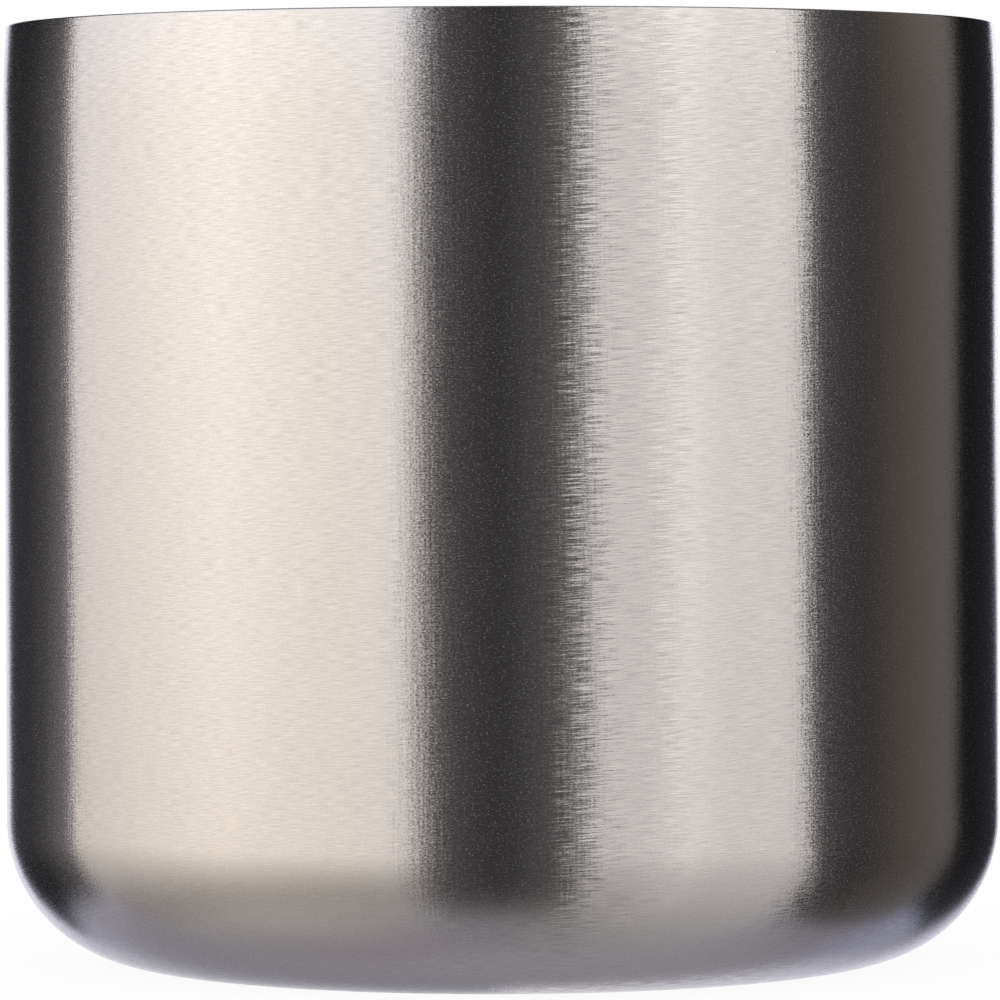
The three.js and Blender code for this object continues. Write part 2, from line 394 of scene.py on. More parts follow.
def relief(
    tree: bpy.types.NodeTree, layers: list[tuple[float, bpy.types.NodeSocket]],
) -> bpy.types.NodeSocket:
    """Adds up marks as heights and turns them into a normal.

    Args:
        tree: Node tree of the material.
        layers: Depth in millimetres and noise of each kind of mark.

    Returns:
        The bumped normal.
    """
    height = None
    for depth, noise in layers:
        height = add_node(
            tree, "ShaderNodeMath", operation="MULTIPLY_ADD", values={1: depth * MM, 2: 0.0},
            links={0: noise} | ({2: height} if height else {}),
        ).outputs[0]
    return add_node(
        tree, "ShaderNodeBump", values={"Strength": 1.0, "Distance": 1.0}, links={"Height": height},
    ).outputs["Normal"]


@dataclass(frozen=True)
class Finish:
    """A surface with no one direction, such as rolled foil, sintered powder, glass or cured glue.

    Mottle moves the colour between light and dark and the roughness over its spread. Marks stand up from
    the surface.
    """

    name: str
    light: str
    dark: str
    metallic: float
    roughness: float
    roughness_spread: float
    mottle: Marks
    marks: tuple[Marks, ...]

    def material(self) -> bpy.types.Material:
        """Builds the node material.

        Returns:
            The material.
        """
        material, tree, shader = start_material(self.name)
        mottle = self.mottle.noise(tree)
        darkest, lightest = MOTTLE_RANGE
        shade = add_node(
            tree, "ShaderNodeMapRange", values={"From Min": darkest, "From Max": lightest},
            links={"Value": mottle},
        ).outputs["Result"]
        colour = add_node(
            tree, "ShaderNodeMix", data_type="RGBA",
            values={MIX_FIRST: (*linear(self.dark), 1.0), MIX_SECOND: (*linear(self.light), 1.0)},
            links={0: shade},
        ).outputs[MIX_RESULT]
        roughness = add_node(
            tree, "ShaderNodeMath", operation="MULTIPLY_ADD",
            values={1: -self.roughness_spread, 2: self.roughness + self.roughness_spread / 2},
            links={0: shade},
        ).outputs[0]
        normal = relief(tree, [(marks.depth, marks.noise(tree)) for marks in self.marks])
        shader.inputs["Metallic"].default_value = self.metallic
        tree.links.new(colour, shader.inputs["Base Color"])
        tree.links.new(roughness, shader.inputs["Roughness"])
        tree.links.new(normal, shader.inputs["Normal"])
        return material


@dataclass(frozen=True)
class BrushedSteel:
    """Stainless steel sheet, brushed round the cup with an abrasive belt.

    The cut spreads a reflection across it and much less along it, so each lamp becomes a tall band with
    nearly clear sides. Long streaks and short flecks of the cut lean round the cup, each by its own small
    angle, so the sides of a band break up into fine lines. The grain of hairlines, flecks and streaks moves
    the colour and the roughness. Torn specks throw light from all round over it, like a rough coat in
    places, and glitter where it is dark. The belt bore down harder in one band of the cup's width, given by
    its middle, its full half width and its outer half width in millimetres. Cut, leans and shares of the
    grain are pairs, outside and inside that band.
    """

    name: str
    light: str
    dark: str
    roughness: float
    roughness_spread: float
    anisotropy: float
    rotation: float
    hard_band: tuple[float, float, float]
    cut: tuple[float, float]
    streak_lean: tuple[float, float]
    fleck_lean: tuple[float, float]
    streak_grain: tuple[float, float]
    fleck_grain: tuple[float, float]
    hairlines: Marks
    streaks: Marks
    flecks: Marks
    specks: Marks
    draw_lines: Marks
    waves: Marks
    speck_roughness: float = 0.38
    speck_index: float = 3.5

    def hardness(self, tree: bpy.types.NodeTree, place: bpy.types.NodeSocket) -> bpy.types.NodeSocket:
        """Where the belt bore down: 0 outside the hard band and 1 inside it, with a smooth step between.

        Args:
            tree: Node tree of the material.
            place: Object coordinates.

        Returns:
            The share.
        """
        middle, full, outer = self.hard_band
        across = add_node(tree, "ShaderNodeSeparateXYZ", links={0: place}).outputs["X"]
        away = add_node(
            tree, "ShaderNodeMath", operation="SUBTRACT", values={1: middle * MM}, links={0: across},
        ).outputs[0]
        away = add_node(tree, "ShaderNodeMath", operation="ABSOLUTE", links={0: away}).outputs[0]
        return add_node(
            tree, "ShaderNodeMapRange", interpolation_type="SMOOTHSTEP",
            values={"From Min": outer * MM, "From Max": full * MM}, links={"Value": away},
        ).outputs["Result"]

    def blended(
        self,
        tree: bpy.types.NodeTree,
        hardness: bpy.types.NodeSocket,
        parts: list[tuple[bpy.types.NodeSocket, tuple[float, float]]],
    ) -> bpy.types.NodeSocket:
        """Adds up noises, each as noise minus one half times its share outside or inside the hard band.

        Args:
            tree: Node tree of the material.
            hardness: Share of the hard band.
            parts: Each noise with its pair of shares.

        Returns:
            The sum.
        """
        total = None
        for noise, (outside, inside) in parts:
            share = add_node(
                tree, "ShaderNodeMath", operation="MULTIPLY_ADD",
                values={1: inside - outside, 2: outside}, links={0: hardness},
            ).outputs[0]
            centred = add_node(
                tree, "ShaderNodeMath", operation="SUBTRACT", values={1: 0.5}, links={0: noise},
            ).outputs[0]
            total = add_node(
                tree, "ShaderNodeMath", operation="MULTIPLY_ADD", values={2: 0.0},
                links={0: centred, 1: share} | ({2: total} if total else {}),
            ).outputs[0]
        return total

    def material(self) -> bpy.types.Material:
        """Builds the node material.

        The heights of hairlines, draw lines and waves, each a noise times its depth, are added up in
        metres, with the hairlines times the cut. The normal then turns along the way round by the lean of
        streaks and flecks in radians. The colour goes from dark to light over one unit of the grain, and
        the roughness changes by its spread. The specks' noise is the weight of the coat.

        Returns:
            The material.
        """
        material, tree, shader = start_material(self.name)
        place = add_node(tree, "ShaderNodeTexCoord").outputs["Object"]
        hardness = self.hardness(tree, place)
        hairline, streak, fleck = (marks.noise(tree) for marks in (self.hairlines, self.streaks, self.flecks))
        cut = self.blended(tree, hardness, [(hairline, self.cut)])
        layers = [(self.hairlines.depth, cut)]
        layers += [(marks.depth, marks.noise(tree)) for marks in (self.draw_lines, self.waves)]
        bump = relief(tree, layers)
        way_round = add_node(
            tree, "ShaderNodeVectorMath", operation="CROSS_PRODUCT", values={0: (0.0, 0.0, 1.0)},
            links={1: place},
        ).outputs[0]
        way_round = add_node(
            tree, "ShaderNodeVectorMath", operation="NORMALIZE", links={0: way_round},
        ).outputs[0]
        lean = self.blended(tree, hardness, [(streak, self.streak_lean), (fleck, self.fleck_lean)])
        leaned = add_node(
            tree, "ShaderNodeVectorMath", operation="MULTIPLY_ADD", links={0: way_round, 1: lean, 2: bump},
        ).outputs[0]
        normal = add_node(
            tree, "ShaderNodeVectorMath", operation="NORMALIZE", links={0: leaned},
        ).outputs[0]
        grain = self.blended(
            tree, hardness, [(hairline, (1.0, 1.0)), (streak, self.streak_grain), (fleck, self.fleck_grain)],
        )
        shade = add_node(
            tree, "ShaderNodeMapRange", values={"From Min": -0.5, "From Max": 0.5}, links={"Value": grain},
        ).outputs["Result"]
        colour = add_node(
            tree, "ShaderNodeMix", data_type="RGBA",
            values={MIX_FIRST: (*linear(self.dark), 1.0), MIX_SECOND: (*linear(self.light), 1.0)},
            links={0: shade},
        ).outputs[MIX_RESULT]
        roughness = add_node(
            tree, "ShaderNodeMath", operation="MULTIPLY_ADD",
            values={1: self.roughness_spread, 2: self.roughness}, links={0: grain},
        ).outputs[0]
        shader.inputs["Metallic"].default_value = 1.0
        shader.inputs["Anisotropic"].default_value = self.anisotropy
        shader.inputs["Anisotropic Rotation"].default_value = self.rotation
        tree.links.new(colour, shader.inputs["Base Color"])
        tree.links.new(roughness, shader.inputs["Roughness"])
        tree.links.new(normal, shader.inputs["Normal"])
        shader.inputs["Coat Roughness"].default_value = self.speck_roughness
        shader.inputs["Coat IOR"].default_value = self.speck_index
        tree.links.new(self.specks.noise(tree), shader.inputs["Coat Weight"])
        return material


# Drawn sheet brushed round with a belt of medium grit: each lamp stands in it as a tall band with crinkled
# sides, the cut shows as fine level lines, and the grain glitters in the dark. The cut is about 0.03 mm wide
# and is drawn three times as coarse, so that it shows in the render.
SHELL_STEEL = BrushedSteel(
    name="stainless_steel_belt_brushed", light="#ddd7d2", dark="#ccc7c3",
    roughness=0.225, roughness_spread=-0.2, anisotropy=0.89, rotation=0.25,
    hard_band=(13.0, 8.0, 13.0), cut=(1.0, 2.5),
    streak_lean=(0.03, 0.2), fleck_lean=(0.09, 0.07), streak_grain=(0.2, 1.7), fleck_grain=(0.12, 0.12),
    hairlines=Marks(length=1.4, width=0.085, depth=0.003, tilt=-3.0, detail=1.0),
    streaks=Marks(length=2.4, width=0.075, tilt=-3.0, detail=2.0),
    flecks=Marks(length=0.2, width=0.13, tilt=-3.0),
    specks=Marks(length=0.24, width=0.1, tilt=-3.0, level=0.62),
    draw_lines=Marks(length=0.35, width=8.0, depth=0.003),
    waves=Marks(length=12.0, width=12.0, depth=0.05, detail=4.0, solid=True),
)

# Ground down with the brushing on both sides: the same colour, a little smoother, so the joint hardly shows
WELD_STEEL = replace(
    SHELL_STEEL, name="stainless_steel_weld_ground", roughness=0.21,
    hairlines=Marks(length=2.0, width=0.08, depth=0.002, detail=2.0),
)

# Turned against a fine pad: long rings, wider apart and softer than the brushing outside
LINER_STEEL = replace(
    SHELL_STEEL, name="stainless_steel_satin_spun", light="#dad6d2", dark="#cac6c2",
    roughness=0.26, roughness_spread=0.06, cut=(1.0, 1.0), streak_lean=(0.02, 0.02), fleck_lean=(0.03, 0.03),
    streak_grain=(0.0, 0.0), fleck_grain=(0.3, 0.3),
    hairlines=Marks(length=40.0, width=0.16, depth=0.004, detail=2.0),
    streaks=Marks(length=60.0, width=0.5),
)

# Spun on its own: clear rings that gather the light into two fans
COVER_STEEL = replace(
    LINER_STEEL, name="stainless_steel_disc_spun", roughness=0.24,
    hairlines=Marks(length=60.0, width=0.22, depth=0.005, detail=2.0),
)

# Cold-rolled strip as it comes from the coil: dull, with lines along its length
STRIP_STEEL = replace(
    SHELL_STEEL, name="stainless_steel_cold_rolled", light="#c9c6c2", dark="#b9b6b2",
    roughness=0.32, roughness_spread=0.06, anisotropy=0.5, cut=(1.0, 1.0), streak_lean=(0.0, 0.0),
    fleck_lean=(0.02, 0.02), streak_grain=(0.0, 0.0), fleck_grain=(0.3, 0.3),
    hairlines=Marks(length=8.0, width=0.12, depth=0.002, detail=2.0),
)

# Bright annealed foil: creases from wrapping break the shine into facets, handling leaves it duller in places
COPPER = Finish(
    "copper_foil_rolled", light="#e0a07c", dark="#b97d5c",
    metallic=1.0, roughness=0.24, roughness_spread=0.14, mottle=Marks(6.0, 9.0, detail=3.0),
    marks=(Marks(3.0, 5.0, depth=0.12), Marks(0.1, 6.0, depth=0.001)),
)

# Pressed powder: dull dark grains with open pores between them
GETTER_METAL = Finish(
    "zirconium_alloy_sintered", light="#6a6661", dark="#413e3b",
    metallic=0.6, roughness=0.8, roughness_spread=0.2, mottle=Marks(0.3, 0.3, detail=2.0),
    marks=(Marks(0.22, 0.22, depth=0.05), Marks(0.5, 0.5, depth=-0.06, level=0.6)),
)

# Melted and set: deep glossy green-grey, wavy where it flowed, with a few bubbles under the skin
GLASS = Finish(
    "solder_glass_fused", light="#525a50", dark="#3f463d",
    metallic=0.0, roughness=0.12, roughness_spread=0.06, mottle=Marks(0.8, 0.6, detail=2.0),
    marks=(Marks(1.2, 0.9, depth=0.03), Marks(0.2, 0.2, depth=0.02, level=0.68)),
)

# Cured glue: dull and faintly cloudy, with pinholes
ADHESIVE = Finish(
    "epoxy_cured", light="#96948b", dark="#7e7c74",
    metallic=0.0, roughness=0.55, roughness_spread=0.15, mottle=Marks(3.0, 2.0, detail=2.0),
    marks=(Marks(1.0, 1.0, depth=0.02), Marks(0.3, 0.3, depth=-0.06, level=0.66)),
)


@dataclass(frozen=True)
class CupSizes:
    """Driving sizes of the cup. The outer radius and the height are those of the frame."""

    outer_radius: float
    height: float
    shell_wall: float = 0.6
    liner_wall: float = 0.5
    vacuum_gap: float = 3.0
    shell_corner: float = 12.25
    collar_height: float = 3.0
    collar_fit: float = 0.05
    weld_height: float = 0.6
    weld_edge: float = 0.15
    roll_inset: float = 0.3
    roll_height: float = 8.0
    liner_corner: float = 10.0
    flare_height: float = 9.0
    flare_bend: float = 12.0
    foot_width: float = 3.0
    recess_bend: float = 0.4

    @classmethod
    def from_frame(cls) -> "CupSizes":
        """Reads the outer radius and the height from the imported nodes."""
        return cls(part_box("outer_shell")[1].x / MM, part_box("rim_weld")[1].z / MM)

    @property
    def lip_z(self) -> float:
        """Height of the two sheets' top edges."""
        return self.height - self.weld_height

    @property
    def collar_z(self) -> float:
        """Height at which the flare ends and the two sheets lie on each other."""
        return self.lip_z - self.collar_height

    @property
    def lip_inner_radius(self) -> float:
        """Inner radius of the rim before it is rolled in."""
        return self.outer_radius - self.shell_wall - self.collar_fit - self.liner_wall

    @property
    def liner_outer_radius(self) -> float:
        """Radius of the liner's face towards the vacuum."""
        return self.outer_radius - self.shell_wall - self.vacuum_gap

    @property
    def recess_radius(self) -> float:
        """Radius of the recess under the cup."""
        taken = self.shell_corner + self.foot_width + self.recess_bend + self.shell_wall
        return self.outer_radius - taken

    def rolled_in(self, outline: np.ndarray) -> np.ndarray:
        """Rolls the rim in: a point moves inwards by the square of its share of the roll's height.

        Args:
            outline: Points as radius and height.

        Returns:
            The moved points.
        """
        share = np.clip((outline[:, 1] - self.height) / self.roll_height + 1.0, 0.0, 1.0)
        return outline - np.stack([self.roll_inset * share**2, np.zeros_like(share)], axis=1)


@dataclass
class Walls:
    """The two drawn sheets and the weld that joins them at the rim."""

    cup: CupSizes
    step: float = 1.6
    dimple_mouth: float = 5.0
    dimple_floor: float = 3.0
    dimple_depth: float = 1.6
    dimple_bend: float = 0.4
    port_radius: float = 1.0

    def outer_shell(self) -> Surface:
        """Outer shell: from the evacuation port over the foot ring and up to the rim.

        Returns:
            The turned sheet.
        """
        cup = self.cup
        recess_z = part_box("cover_bond")[1].z / MM
        dimple_z = recess_z + self.dimple_depth
        bends = [
            Bend(self.dimple_floor, dimple_z, self.dimple_bend),
            Bend(self.dimple_mouth, recess_z, self.dimple_bend),
            Bend(cup.recess_radius, recess_z, cup.recess_bend),
            Bend(cup.recess_radius, 0.0, cup.recess_bend),
            Bend(cup.outer_radius, 0.0, cup.shell_corner - cup.shell_wall),
        ]
        first, last = (self.port_radius, dimple_z), (cup.outer_radius, cup.lip_z)
        return self.welded(sheet(first, bends, last, cup.shell_wall))

    def welded(self, outline: np.ndarray) -> Surface:
        """Divides an outline, rolls its rim in and turns it."""
        return turned(self.cup.rolled_in(divided(outline, self.step)), Turn.LARGE)

    def inner_liner(self) -> Surface:
        """Inner liner: the drawn cup that holds the drink, flared at the top to lie in the collar.

        Returns:
            The turned sheet.
        """
        cup = self.cup
        under_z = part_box("inner_liner")[0].z / MM
        outer_lip = cup.lip_inner_radius + cup.liner_wall
        bends = [
            Bend(cup.liner_outer_radius, under_z, cup.liner_corner),
            Bend(cup.liner_outer_radius, cup.collar_z - cup.flare_height, cup.flare_bend),
            Bend(outer_lip, cup.collar_z, cup.flare_bend),
        ]
        return self.welded(sheet((0.0, under_z), bends, (outer_lip, cup.lip_z), cup.liner_wall))

    def rim_weld(self) -> Surface:
        """Rim weld: the bead on both top edges, ground flush and eased at its two edges.

        Returns:
            The turned bead.
        """
        cup = self.cup
        edge_z = cup.height - cup.weld_edge
        outline = np.concatenate([
            [(cup.lip_inner_radius, cup.lip_z), (cup.outer_radius, cup.lip_z)],
            arc((cup.outer_radius - cup.weld_edge, edge_z), cup.weld_edge, 0.0, math.pi / 2),
            arc((cup.lip_inner_radius + cup.weld_edge, edge_z), cup.weld_edge, math.pi / 2, math.pi),
        ])
        return self.welded(outline)

    def dress(self) -> None:
        """Puts the three pieces in the scene with their finishes."""
        place(self.outer_shell(), "outer_shell", SHELL_STEEL)
        place(self.inner_liner(), "inner_liner", LINER_STEEL)
        place(self.rim_weld(), "rim_weld", WELD_STEEL)


@dataclass
class HeatShield:
    """Copper foil round the liner's wall and under its floor, against radiant heat."""

    cup: CupSizes
    thickness: float = 0.15
    clearance: float = 0.2
    lap: float = 12.0
    ramp: float = 4.0
    step: float = 1.0

    def foil_wrap(self) -> Surface:
        """Foil wrap: one strip round the wall, with its end lifted over its start.

        The inner face is a circle whose radius climbs by thickness plus clearance, along a smooth step,
        just before the first turn is full.

        Returns:
            The strip.
        """
        low, high = (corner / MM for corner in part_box("foil_wrap"))
        radius = self.cup.liner_outer_radius + self.clearance
        angle = np.linspace(0.0, 2 * np.pi + self.lap / radius, Turn.LARGE.value)
        climb = rise(angle * radius, 2 * np.pi * radius - 1.5 * self.ramp, self.ramp)
        inner = radius + climb * (self.thickness + self.clearance)
        way = np.stack([np.cos(angle), np.sin(angle)], axis=1)
        faces = [(inner + self.thickness)[:, None] * way, (inner[:, None] * way)[::-1]]
        return strip(np.concatenate(faces), low.z, high.z)

    def foil_disc(self) -> Surface:
        """Foil disc: cut round and laid flat under the liner's floor.

        Returns:
            The turned disc.
        """
        low, high = (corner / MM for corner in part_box("foil_disc"))
        outline = np.array([(0.0, low.z), (high.x, low.z), (high.x, high.z), (0.0, high.z)])
        return turned(divided(outline, self.step), Turn.SMALL)

    def dress(self) -> None:
        """Puts both foils in the scene."""
        place(self.foil_wrap(), "foil_wrap", COPPER)
        place(self.foil_disc(), "foil_disc", COPPER)


@dataclass
class Getter:
    """The pill that keeps the vacuum and the strap that holds it down."""

    chamfer: float = 0.4
    strap_thickness: float = 0.3
    strap_flange: float = 3.5
    strap_bend: float = 0.25
    step: float = 0.5

    def getter_pill(self) -> Surface:
        """Getter pill: pressed powder with chamfered edges.

        Returns:
            The turned pill, at its place on the recess.
        """
        low, high = (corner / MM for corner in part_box("getter_pill"))
        radius, top, cut = (high.x - low.x) / 2, high.z - low.z, self.chamfer
        side = np.array([(radius - cut, 0.0), (radius, cut), (radius, top - cut), (radius - cut, top)])
        outline = np.concatenate([[(0.0, 0.0)], side, [(0.0, top)]])
        middle = (low + high) / 2
        return turned(divided(outline, self.step), Turn.SMALL).moved(middle.x, middle.y, low.z)

    def getter_strap(self) -> Surface:
        """Getter strap: a strip bent like a hat, over the pill and down to a flange on each side.

        Returns:
            The bent strip, turned upright.
        """
        low, high = (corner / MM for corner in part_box("getter_strap"))
        wall, base, top = self.strap_thickness, low.z, high.z
        leg = high.x - self.strap_flange
        bends = [
            Bend(leg, base + wall, self.strap_bend), Bend(leg, top, self.strap_bend),
            Bend(-leg, top, self.strap_bend), Bend(-leg, base + wall, self.strap_bend),
        ]
        outline = sheet((high.x, base + wall), bends, (low.x, base + wall), wall)
        flat = strip(outline, -high.y, -low.y)
        x, y, z = flat.points.T
        return replace(flat, points=np.stack([x, -z, y], axis=1))

    def dress(self) -> None:
        """Puts the pill and its strap in the scene."""
        place(self.getter_pill(), "getter_pill", GETTER_METAL)
        place(self.getter_strap(), "getter_strap", STRIP_STEEL)


@dataclass
class Base:
    """What closes the cup underneath: the port's seal, and the cover with its ring of glue."""

    port_radius: float = 1.0
    stub_clearance: float = 0.15
    bond_width: float = 6.0
    bond_hollow: float = 0.5
    cover_edge: float = 0.3
    step: float = 1.5

    def port_seal(self) -> Surface:
        """Port seal: a drop of glass hanging from the dimple, with a stub in the port.

        The drop is a cap of a sphere whose radius is (spread squared + height squared) / (2 height).

        Returns:
            The turned drop.
        """
        low, high = (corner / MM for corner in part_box("port_seal"))
        dimple_z = high.z - CupSizes.shell_wall
        spread, drop = high.x, dimple_z - low.z
        crown = (spread**2 + drop**2) / (2 * drop)
        centre = (0.0, low.z + crown)
        cap = arc(centre, crown, -math.pi / 2, math.atan2(dimple_z - centre[1], spread))
        cap[0, 0] = 0.0
        stub = self.port_radius - self.stub_clearance
        return turned(np.concatenate([cap, [(stub, dimple_z), (stub, high.z), (0.0, high.z)]]), Turn.SMALL)

    def cover_bond(self) -> Surface:
        """Cover bond: a ring of glue, drawn in at both edges where it was squeezed flat.

        Returns:
            The turned ring.
        """
        low, high = (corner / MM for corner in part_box("cover_bond"))
        inner, half = high.x - self.bond_width, (high.z - low.z) / 2
        reach = math.sqrt(self.bond_hollow**2 - half**2)
        turn = math.asin(half / self.bond_hollow)
        middle = low.z + half
        outer_edge = arc((high.x + reach, middle), self.bond_hollow, math.pi + turn, math.pi - turn)
        inner_edge = arc((inner - reach, middle), self.bond_hollow, turn, -turn)
        return turned(divided(np.concatenate([outer_edge, inner_edge]), self.step), Turn.LARGE)

    def base_cover(self) -> Surface:
        """Base cover: the disc that hides the port, with its lower edge rounded.

        Returns:
            The turned disc.
        """
        low, high = (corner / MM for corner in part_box("base_cover"))
        edge = arc((high.x - self.cover_edge, low.z + self.cover_edge), self.cover_edge, -math.pi / 2, 0.0)
        outline = np.concatenate([[(0.0, low.z)], edge, [(high.x, high.z), (0.0, high.z)]])
        return turned(divided(outline, self.step), Turn.LARGE)

    def dress(self) -> None:
        """Puts the three pieces in the scene."""
        place(self.port_seal(), "port_seal", GLASS)
        place(self.cover_bond(), "cover_bond", ADHESIVE)
        place(self.base_cover(), "base_cover", COVER_STEEL)


def place(surface: Surface, node: str, finish: Finish | BrushedSteel) -> None:
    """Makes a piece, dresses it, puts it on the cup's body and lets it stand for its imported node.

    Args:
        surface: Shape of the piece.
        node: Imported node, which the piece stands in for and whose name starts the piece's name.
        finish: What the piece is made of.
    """
    piece = surface.to_object(f"{node}_made")
    piece.data.materials.append(finish.material())
    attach(piece, BODY)
    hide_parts(node)
    LOG.info("%s: %d faces, %s", node, len(piece.data.polygons), finish.name)


Stops = tuple[tuple[float, str] | tuple[float, str, float], ...]


def shade_at(stops: Stops, angle: np.ndarray) -> np.ndarray:
    """Colour between stops, each an angle, a colour and, where it isn't 1, a strength.

    Args:
        stops: The stops, by rising angle.
        angle: Where the colour is wanted.

    Returns:
        Linear colour, with three parts in the last axis.
    """
    colours = np.array([linear(stop[1]) for stop in stops])
    strengths = np.array([stop[2] if len(stop) > 2 else 1.0 for stop in stops])
    parts = (colours * strengths[:, None]).T
    return np.stack([np.interp(angle, [stop[0] for stop in stops], part) for part in parts], axis=-1)


@dataclass(frozen=True)
class Card:
    """A lamp panel or a dark flag that hangs round the cup and shows in its steel.

    Angles are in degrees. Azimuth is 0 towards the camera and grows to the camera's right. Each side has
    its place at the horizon, its softness and its lean, which is how far it moves for each degree down.
    The bottom has its place, its softness, its sag in the middle and its rise to the right. Tones are
    stops over azimuth, falls are stops over elevation, and a point's light is their product.
    """

    name: str
    left: tuple[float, float, float] = (-400.0, 1.0, 0.0)
    right: tuple[float, float, float] = (400.0, 1.0, 0.0)
    bottom: tuple[float, float, float, float] = (-100.0, 1.0, 0.0, 0.0)
    tones: Stops = ((0.0, "#ffffff"),)
    falls: Stops = ((0.0, "#ffffff"),)

    def over(self, below: np.ndarray, azimuth: np.ndarray, elevation: np.ndarray) -> np.ndarray:
        """Lays the card over the light that comes from behind it.

        Its cover is a smooth step over each side's softness times one over the bottom's softness. With t
        from -1 at the left side to 1 at the right, the bottom is at place - sag (1 - t squared) + rise t.

        Args:
            below: Radiance behind the card, with three parts in the last axis.
            azimuth: Azimuth of each point in degrees.
            elevation: Elevation of each point in degrees.

        Returns:
            The radiance with the card in front.
        """
        down = np.maximum(-elevation, 0.0)
        cover = rise(azimuth - self.left[2] * down, self.left[0], self.left[1])
        cover = cover * (1 - rise(azimuth - self.right[2] * down, self.right[0], self.right[1]))
        place_z, softness, sag, slope = self.bottom
        t = (2 * azimuth - self.left[0] - self.right[0]) / (self.right[0] - self.left[0])
        cover = cover * rise(elevation - slope * t + sag * (1 - t * t), place_z, softness)
        light = shade_at(self.tones, azimuth) * shade_at(self.falls, elevation)
        return below + cover[..., None] * (light - below)


def rise(value: np.ndarray, middle: float, softness: float) -> np.ndarray:
    """Smooth step from 0 to 1 round a middle: 3 t squared minus 2 t cubed over the softness.

    Args:
        value: Where the step is taken.
        middle: Value at which it is one half.
        softness: Whole width of the step.

    Returns:
        The step, with the shape of value.
    """
    t = np.clip((value - middle) / softness + 0.5, 0.0, 1.0)
    return t * t * (3 - 2 * t)


